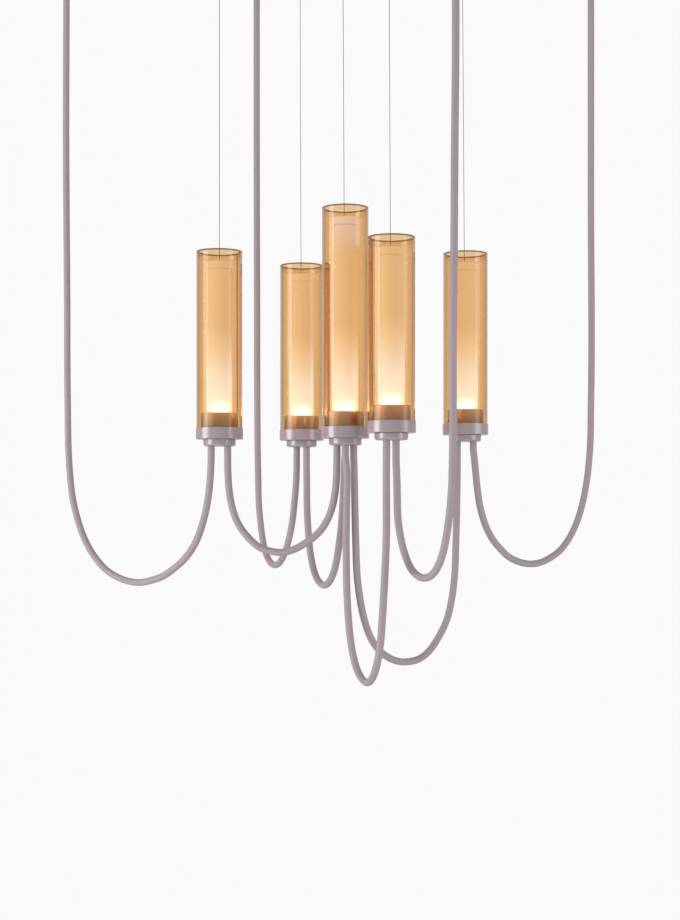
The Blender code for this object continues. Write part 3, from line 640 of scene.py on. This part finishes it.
def flanked(outline, rounds):
    """The outline with a point on each side of every corner that gets a radius, so that
    the shade of its long sides stays even."""
    corners = [Vector(corner) for corner in outline]
    closed = outline[0][0] > 0.0
    points = []
    for number, corner in enumerate(corners):
        reach = FLANK * rounds[number][0] if number in rounds else 0.0
        around = [corners[number - 1] if number or closed else None, corner,
                  corners[(number + 1) % len(corners)]]
        for near in around:
            if near is corner:
                points.append(tuple(corner))
            elif near is not None and reach and (near - corner).length > 2 * reach:
                points.append(tuple(corner + (near - corner).normalized() * reach))
    return points


def turned_shape(outline, sides, rounds=None):
    """A turned shape about the Z axis from (radius, height) corners. It closes on itself
    unless it starts and ends on the axis; rounds gives some corners a radius, by number."""
    shape = bmesh.new()
    corners = [shape.verts.new((radius, 0.0, height))
               for radius, height in flanked(outline, rounds or {})]
    edges = [shape.edges.new(pair) for pair in zip(corners, corners[1:])]
    if outline[0][0] > 0.0:
        edges.append(shape.edges.new((corners[-1], corners[0])))
    bmesh.ops.spin(shape, geom=corners + edges, axis=(0.0, 0.0, 1.0), cent=(0.0, 0.0, 0.0),
                   steps=sides, angle=math.tau, use_merge=True)
    bmesh.ops.remove_doubles(shape, verts=shape.verts, dist=WELD)
    bmesh.ops.recalc_face_normals(shape, faces=shape.faces)
    for number, (radius, segments) in (rounds or {}).items():
        at = Vector(outline[number])
        ring = [edge for edge in shape.edges
                if all((Vector((vert.co.xy.length, vert.co.z)) - at).length < CORNER_REACH
                       for vert in edge.verts)]
        bmesh.ops.bevel(shape, geom=ring, offset=radius, offset_type="OFFSET",
                        segments=segments, profile=0.5, affect="EDGES", material=-1,
                        clamp_overlap=True)
    return shape


def drill(shape, radius, bottom, top, centres):
    """Cuts upright round holes into a shape, and gives back the cut shape."""
    cutter = bmesh.new()
    for x, y in centres:
        middle = Matrix.Translation((x, y, (bottom + top) / 2))
        bmesh.ops.create_cone(cutter, cap_ends=True, segments=ROD_SIDES, radius1=radius,
                              radius2=radius, depth=top - bottom, matrix=middle)
    pair = []
    for name, source in (("drilled", shape), ("drill", cutter)):
        mesh = bpy.data.meshes.new(name)
        source.to_mesh(mesh)
        source.free()
        thing = bpy.data.objects.new(name, mesh)
        bpy.context.scene.collection.objects.link(thing)
        pair.append(thing)
    drilled, tool = pair
    cut = drilled.modifiers.new("cut", "BOOLEAN")
    cut.operation = "DIFFERENCE"
    cut.solver = "EXACT"
    cut.object = tool
    bpy.context.view_layer.update()
    seen = drilled.evaluated_get(bpy.context.evaluated_depsgraph_get())
    mesh = bpy.data.meshes.new_from_object(seen)
    result = bmesh.new()
    result.from_mesh(mesh)
    for thing in pair:
        bpy.data.objects.remove(thing, do_unlink=True)
    bpy.data.meshes.remove(mesh)
    return result


def mesh_of(shape, name, at, rise_from=0.0, below=0.0):
    """A smooth mesh at its place. It keeps the distance along its outline, the rise above
    one height and the depth below another for its material."""
    bmesh.ops.remove_doubles(shape, verts=shape.verts, dist=WELD)
    outline = [vert.co.xy.length + vert.co.z for vert in shape.verts]
    rise = [vert.co.z - rise_from for vert in shape.verts]
    depth = [below - vert.co.z for vert in shape.verts]
    bmesh.ops.translate(shape, verts=shape.verts, vec=at)
    mesh = bpy.data.meshes.new(name)
    shape.to_mesh(mesh)
    shape.free()
    for label, values in (("outline", outline), ("rise", rise), ("depth", depth)):
        mesh.attributes.new(label, "FLOAT", "POINT").data.foreach_set("value", values)
    mesh.shade_smooth()
    mesh.set_sharp_from_angle(angle=SHARP_ANGLE)
    return mesh


# Lamp pieces
def glass_tube(number, at):
    """Amber cylinder with fire polished rims. Gives back the height of its top rim."""
    rim = RING_HEIGHT + (LONG_GLASS_RISE if number == LONG_LAMP else GLASS_RISE)
    outline = ((GLASS_RADIUS, rim), (GLASS_RADIUS, GLASS_FOOT),
               (GLASS_BORE_RADIUS, GLASS_FOOT), (GLASS_BORE_RADIUS, rim))
    name = f"amber_glass_{number}"
    mesh = mesh_of(turned_shape(outline, GLASS_SIDES, GLASS_ROUNDS), name, at, below=rim)
    add_piece(name, mesh, AMBER, f"glass_{number}", f"glass_tube_{number}")
    return rim


def diffuser(number, at, rim):
    """Frosted tube with a rounded closed top, a cap line and an eye for the wire."""
    top = rim - DIFFUSER_SETBACK
    foot = SINK_FLOOR + GAP
    outside = DIFFUSER_RADIUS
    inside = outside - DIFFUSER_WALL
    line = top - DIFFUSER_CAP_LINE
    groove = outside - DIFFUSER_GROOVE
    outline = ((DIFFUSER_EYE_RADIUS, top), (outside, top), (outside, line),
               (groove, line - DIFFUSER_GROOVE), (outside, line - 2 * DIFFUSER_GROOVE),
               (outside, foot), (inside, foot), (inside, top - DIFFUSER_WALL),
               (DIFFUSER_EYE_RADIUS, top - DIFFUSER_WALL))
    name = f"frosted_diffuser_{number}"
    mesh = mesh_of(turned_shape(outline, TURNED_SIDES, DIFFUSER_ROUNDS), name, at,
                   rise_from=SINK_TOP, below=top)
    add_piece(name, mesh, FROSTED, f"inner_{number}", f"diffuser_{number}")


def heat_sink(number, at):
    """Turned collar with a seat on top for the diffuser and the light board."""
    outside = SINK_RADIUS
    outline = ((SINK_HOLE_RADIUS, SINK_FLOOR), (SINK_RECESS_RADIUS, SINK_FLOOR),
               (SINK_RECESS_RADIUS, SINK_TOP), (outside, SINK_TOP), (outside, GLASS_FOOT),
               (SPIGOT_RADIUS, GLASS_FOOT), (SPIGOT_RADIUS, SPIGOT_END),
               (SINK_HOLE_RADIUS, SPIGOT_END))
    name = f"turned_collar_{number}"
    mesh = mesh_of(turned_shape(outline, TURNED_SIDES, SINK_ROUNDS), name, at,
                   rise_from=RING_HEIGHT)
    add_piece(name, mesh, TURNED, STILL, f"heat_sink_{number}")


def led_board(number, at):
    """Round light board with its chips."""
    foot = SINK_FLOOR + GAP
    top = foot + BOARD_THICKNESS
    outline = ((BOARD_RADIUS, top), (BOARD_RADIUS, foot), (BOARD_EYE_RADIUS, foot),
               (BOARD_EYE_RADIUS, top))
    shape = turned_shape(outline, FITTING_SIDES, BOARD_ROUNDS)
    for index in range(CHIP_COUNT):
        turn = Matrix.Rotation(math.tau * index / CHIP_COUNT, 4, "Z")
        spot = turn @ Matrix.Translation((CHIP_RING_RADIUS, 0.0, top + CHIP_HEIGHT / 2))
        size = Matrix.Diagonal((CHIP_SIDE, CHIP_SIDE, CHIP_HEIGHT, 1.0))
        cube = bmesh.ops.create_cube(shape, size=1.0, matrix=spot @ size)
        faces = {face for vert in cube["verts"] for face in vert.link_faces}
        for face in faces:
            face.material_index = 1
        edges = list({edge for face in faces for edge in face.edges})
        bmesh.ops.bevel(shape, geom=edges, offset=CHIP_ROUND, segments=2, profile=0.5,
                        affect="EDGES", material=-1)
    name = f"light_board_{number}"
    mesh = mesh_of(shape, name, at)
    mesh.materials.append(BOARD)
    mesh.materials.append(CHIP)
    add_piece(name, mesh, BOARD, STILL, f"led_board_{number}")


def base_ring(number, at, outlets):
    """Painted cup that the glass stands in."""
    outline = ((RING_BOSS_HOLE, RING_FLOOR), (CAVITY_RADIUS, RING_FLOOR),
               (CAVITY_RADIUS, RING_SHELF), (RING_SEAT_RADIUS, RING_SHELF),
               (RING_SEAT_RADIUS, RING_HEIGHT), (RING_RADIUS, RING_HEIGHT),
               (RING_RADIUS, 0.0), (RING_BOSS_HOLE, 0.0))
    shape = turned_shape(outline, GLASS_SIDES, RING_ROUNDS)
    shape = drill(shape, LEAD_RADIUS, -OVERRUN, RING_FLOOR + OVERRUN, outlets)
    name = f"painted_base_ring_{number}"
    add_piece(name, mesh_of(shape, name, at), PAINTED, STILL, f"base_ring_{number}")


def hub(number, at, outlets):
    """Painted hub with its hose sockets."""
    outline = ((0.0, RING_FLOOR), (BOSS_RADIUS, RING_FLOOR), (BOSS_RADIUS, -GAP),
               (HUB_RADIUS, -GAP), (HUB_RADIUS, HUB_CHAMFER - HUB_HEIGHT),
               (HUB_RADIUS - HUB_CHAMFER, -HUB_HEIGHT), (0.0, -HUB_HEIGHT))
    shape = turned_shape(outline, TURNED_SIDES, HUB_ROUNDS)
    below = -HUB_HEIGHT - OVERRUN
    shape = drill(shape, SOCKET_RADIUS, below, SOCKET_DEPTH - HUB_HEIGHT, outlets)
    shape = drill(shape, LEAD_RADIUS, below, RING_FLOOR + OVERRUN, outlets)
    name = f"painted_hub_{number}"
    add_piece(name, mesh_of(shape, name, at), PAINTED, STILL, f"hub_{number}")


# Ceiling fittings
def ceiling_cup(number, at):
    """Painted cup that holds the top of a hose."""
    outline = ((CUP_RADIUS, 0.0), (CUP_RADIUS, -CUP_HEIGHT), (SOCKET_RADIUS, -CUP_HEIGHT),
               (SOCKET_RADIUS, SOCKET_DEPTH - CUP_HEIGHT),
               (LEAD_RADIUS, SOCKET_DEPTH - CUP_HEIGHT), (LEAD_RADIUS, -CUP_FLOOR),
               (CUP_RADIUS - CUP_WALL, -CUP_FLOOR), (CUP_RADIUS - CUP_WALL, 0.0))
    name = f"painted_ceiling_cup_{number}"
    mesh = mesh_of(turned_shape(outline, TURNED_SIDES, CUP_ROUNDS), name, at)
    add_piece(name, mesh, PAINTED, STILL, f"ceiling_cup_{number}")


def ceiling_disc(number, at):
    """Zinc plated disc inside a ceiling cup."""
    outline = ((DISC_RADIUS, 0.0), (DISC_RADIUS, -DISC_THICKNESS),
               (DISC_HOLE_RADIUS, -DISC_THICKNESS), (DISC_HOLE_RADIUS, 0.0))
    shape = turned_shape(outline, FITTING_SIDES, DISC_ROUNDS)
    shape = drill(shape, DISC_SCREW_RADIUS, -DISC_THICKNESS - OVERRUN, OVERRUN,
                  ((0.0, DISC_SCREW_PLACE), (0.0, -DISC_SCREW_PLACE)))
    name = f"zinc_ceiling_disc_{number}"
    add_piece(name, mesh_of(shape, name, at), ZINC, STILL, f"ceiling_disc_{number}")


def wire_gripper(number, at):
    """Nickel plated gripper on the ceiling."""
    nose = GRIPPER_NOSE_LENGTH - GRIPPER_LENGTH
    outline = ((0.0, 0.0), (FLANGE_RADIUS, 0.0), (FLANGE_RADIUS, -FLANGE_THICKNESS),
               (GRIPPER_RADIUS, -FLANGE_THICKNESS), (GRIPPER_RADIUS, nose),
               (GRIPPER_NOSE_RADIUS, -GRIPPER_LENGTH),
               (GRIPPER_BORE_RADIUS, -GRIPPER_LENGTH),
               (GRIPPER_BORE_RADIUS, -GRIPPER_ROOF), (0.0, -GRIPPER_ROOF))
    shape = turned_shape(outline, FITTING_SIDES, GRIPPER_ROUNDS)
    shape = drill(shape, FLANGE_SCREW_RADIUS, -FLANGE_THICKNESS - OVERRUN, OVERRUN,
                  ((FLANGE_SCREW_PLACE, 0.0), (-FLANGE_SCREW_PLACE, 0.0)))
    name = f"nickel_wire_gripper_{number}"
    add_piece(name, mesh_of(shape, name, at), NICKEL, STILL, f"wire_gripper_{number}")


# Hoses and wires
def smooth_curve(points):
    """A smooth curve through points: cubic pieces whose slopes follow the neighbours."""
    spans = [(b - a).length for a, b in zip(points, points[1:])]
    chords = [(b - a) / span for a, b, span in zip(points, points[1:], spans)]
    slopes = [chords[0]]
    for index in range(1, len(chords)):
        weight = spans[index - 1] / (spans[index - 1] + spans[index])
        slopes.append(chords[index - 1].lerp(chords[index], weight))
    slopes.append(chords[-1])
    line = []
    for index, span in enumerate(spans):
        for step in range(CURVE_STEPS):
            t = step / CURVE_STEPS
            line.append(points[index] * (2 * t**3 - 3 * t**2 + 1)
                        + slopes[index] * (span * (t**3 - 2 * t**2 + t))
                        + points[index + 1] * (3 * t**2 - 2 * t**3)
                        + slopes[index + 1] * (span * (t**3 - t**2)))
    line.append(points[-1])
    return line


def length_of(line):
    """Length of a line of points."""
    return sum((b - a).length for a, b in zip(line, line[1:]))


def spaced(line, step):
    """Points at even distances along a line."""
    total = length_of(line)
    count = max(2, round(total / step))
    wanted = [total * index / count for index in range(1, count)]
    found = [line[0]]
    walked = 0.0
    for start, end in zip(line, line[1:]):
        length = (end - start).length
        while wanted and wanted[0] <= walked + length:
            found.append(start.lerp(end, (wanted.pop(0) - walked) / length))
        walked += length
    return found + [line[-1]]


def cord_curve(name, line, diameter, roundness):
    """A round cord along a line, as a curve of one spline."""
    curve = bpy.data.curves.new(name, "CURVE")
    curve.dimensions = "3D"
    curve.bevel_depth = diameter / 2
    curve.bevel_resolution = roundness
    curve.use_fill_caps = True
    spline = curve.splines.new("POLY")
    spline.points.add(len(line) - 1)
    for slot, point in zip(spline.points, line):
        slot.co = (*point, 1.0)
    spline.use_smooth = True
    return curve


def hose(number):
    """Grey hose from one socket to the next."""
    points = [Vector(point) for point in HOSE_ROUTES[number]]
    line = spaced(smooth_curve(points), HOSE_SPACING)
    name = f"grey_hose_{number}"
    curve = cord_curve(name, line, HOSE_DIAMETER, HOSE_ROUNDNESS)
    piece = add_piece(name, curve, HOSE_SKIN, STILL, f"hose_{number}")
    length_of(line)


def suspension_wire(number):
    """Steel wire from inside the base ring up into the gripper."""
    low = foot_of(f"base_ring_{number}") + Vector((0.0, 0.0, SPIGOT_END - WIRE_FOOT_DROP))
    high = head_of(f"wire_gripper_{number}") - Vector((0.0, 0.0, GRIPPER_ROOF + GAP))
    line = [low, low.lerp(high, 0.5), high]
    name = f"steel_wire_{number}"
    curve = cord_curve(name, line, WIRE_DIAMETER, WIRE_ROUNDNESS)
    piece = add_piece(name, curve, STEEL, STILL, f"suspension_wire_{number}")


def outlets_of(at):
    """The axes of the hoses in a lamp's hub, in plan from the lamp's own axis."""
    ends = [Vector(route[index]) for route in HOSE_ROUTES.values() for index in (0, -1)]
    return [(end - at).xy for end in ends if (end - at).xy.length < HUB_RADIUS
            and end.z < -CUP_HEIGHT]


def stage_room():
    """Pale floor that fades out around the chandelier."""
    floor = new_finish("pale floor")
    place = floor.add("TexCoord", output="Object")
    far = floor.add("VectorMath", {0: place}, "Value", operation="LENGTH")
    cloud = floor.noise(place, scale=1.5, detail=2.0)
    ground = floor.add("BsdfDiffuse", {"Color": floor.mixed(cloud, *FLOOR_TONES),
                                       "Roughness": 0.6})
    gone = ((far - FLOOR_FADE_START) / FLOOR_FADE).clamped()
    material = floor.done(floor.blend(gone, ground, floor.film(CLEAR)))
    shape = bmesh.new()
    bmesh.ops.create_grid(shape, x_segments=1, y_segments=1, size=FLOOR_SIZE / 2)
    bmesh.ops.translate(shape, verts=shape.verts, vec=(0.0, 0.0, FLOOR_HEIGHT))
    mesh = bpy.data.meshes.new("floor")
    shape.to_mesh(mesh)
    shape.free()
    mesh.materials.append(material)
    ground_plane = bpy.data.objects.new("floor", mesh)
    bpy.context.scene.collection.objects.link(ground_plane)


def room_light():
    """White to the eye and through glass, dimmer in reflections and as light."""
    world = bpy.data.worlds.new("studio")
    bpy.context.scene.world = world
    studio = Finish(world)
    way = studio.add("TexCoord", output="Generated")
    ahead = studio.add("SeparateXYZ", {0: way}, "Y")
    straight = studio.add("LightPath", output="Is Camera Ray")
    through = studio.add("LightPath", output="Is Transmission Ray")
    mirrored = studio.add("LightPath", output="Glossy Depth").clamped()
    far_side = ((ahead - ROOM_FAR_START) * ROOM_FAR_GAIN).clamped()
    reflected = mirrored * (ROOM_MIRRORED + ROOM_MIRRORED_FAR * far_side)
    seen = straight.most(through * (1.0 - mirrored)).most(reflected)
    strength = seen.most(ROOM_SOFT_LIGHT - ROOM_SOFT_LIGHT * mirrored)
    studio.done(studio.add("Background", {"Color": ROOM_WHITE, "Strength": strength}),
                "OutputWorld")


def soft_lights():
    """Large soft lights to the sides, above and low in front."""
    for name, at, width, height, power in SOFT_LIGHTS:
        light = bpy.data.lights.new(name, "AREA")
        light.shape = "RECTANGLE"
        light.size = width
        light.size_y = height
        light.energy = power
        thing = bpy.data.objects.new(name, light)
        thing.location = at
        thing.rotation_euler = (LIGHT_TARGET - Vector(at)).to_track_quat("-Z", "Y").to_euler()
        thing.visible_camera = False
        thing.visible_transmission = False
        bpy.context.scene.collection.objects.link(thing)


def camera():
    """The photograph's camera."""
    lens = bpy.data.cameras.new("camera")
    lens.lens = CAMERA_LENS
    lens.sensor_width = CAMERA_SENSOR
    lens.shift_y = CAMERA_SHIFT_UP
    eye = bpy.data.objects.new("camera", lens)
    eye.location = CAMERA_PLACE
    eye.rotation_euler = (math.pi / 2, 0.0, 0.0)
    bpy.context.scene.collection.objects.link(eye)
    bpy.context.scene.camera = eye


def main():
    """Builds the visual model and its room."""
    bpy.context.scene.view_settings.view_transform = "Standard"
    camera()
    for number in HOSE_ROUTES:
        hose(number)
    for number in LAMPS:
        suspension_wire(number)
        wire_gripper(number, head_of(f"wire_gripper_{number}"))
        at = foot_of(f"base_ring_{number}")
        outlets = outlets_of(at)
        rim = glass_tube(number, at)
        diffuser(number, at, rim)
        heat_sink(number, at)
        led_board(number, at)
        base_ring(number, at, outlets)
        hub(number, at, outlets)
    for number in CUPS:
        at = head_of(f"ceiling_cup_{number}")
        ceiling_cup(number, at)
        ceiling_disc(number, at)
        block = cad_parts[f"terminal_block_{number}"]
        block.material_slots[0].material = MOULDED
    stage_room()
    room_light()
    soft_lights()


main()
bpy.context.view_layer.update()
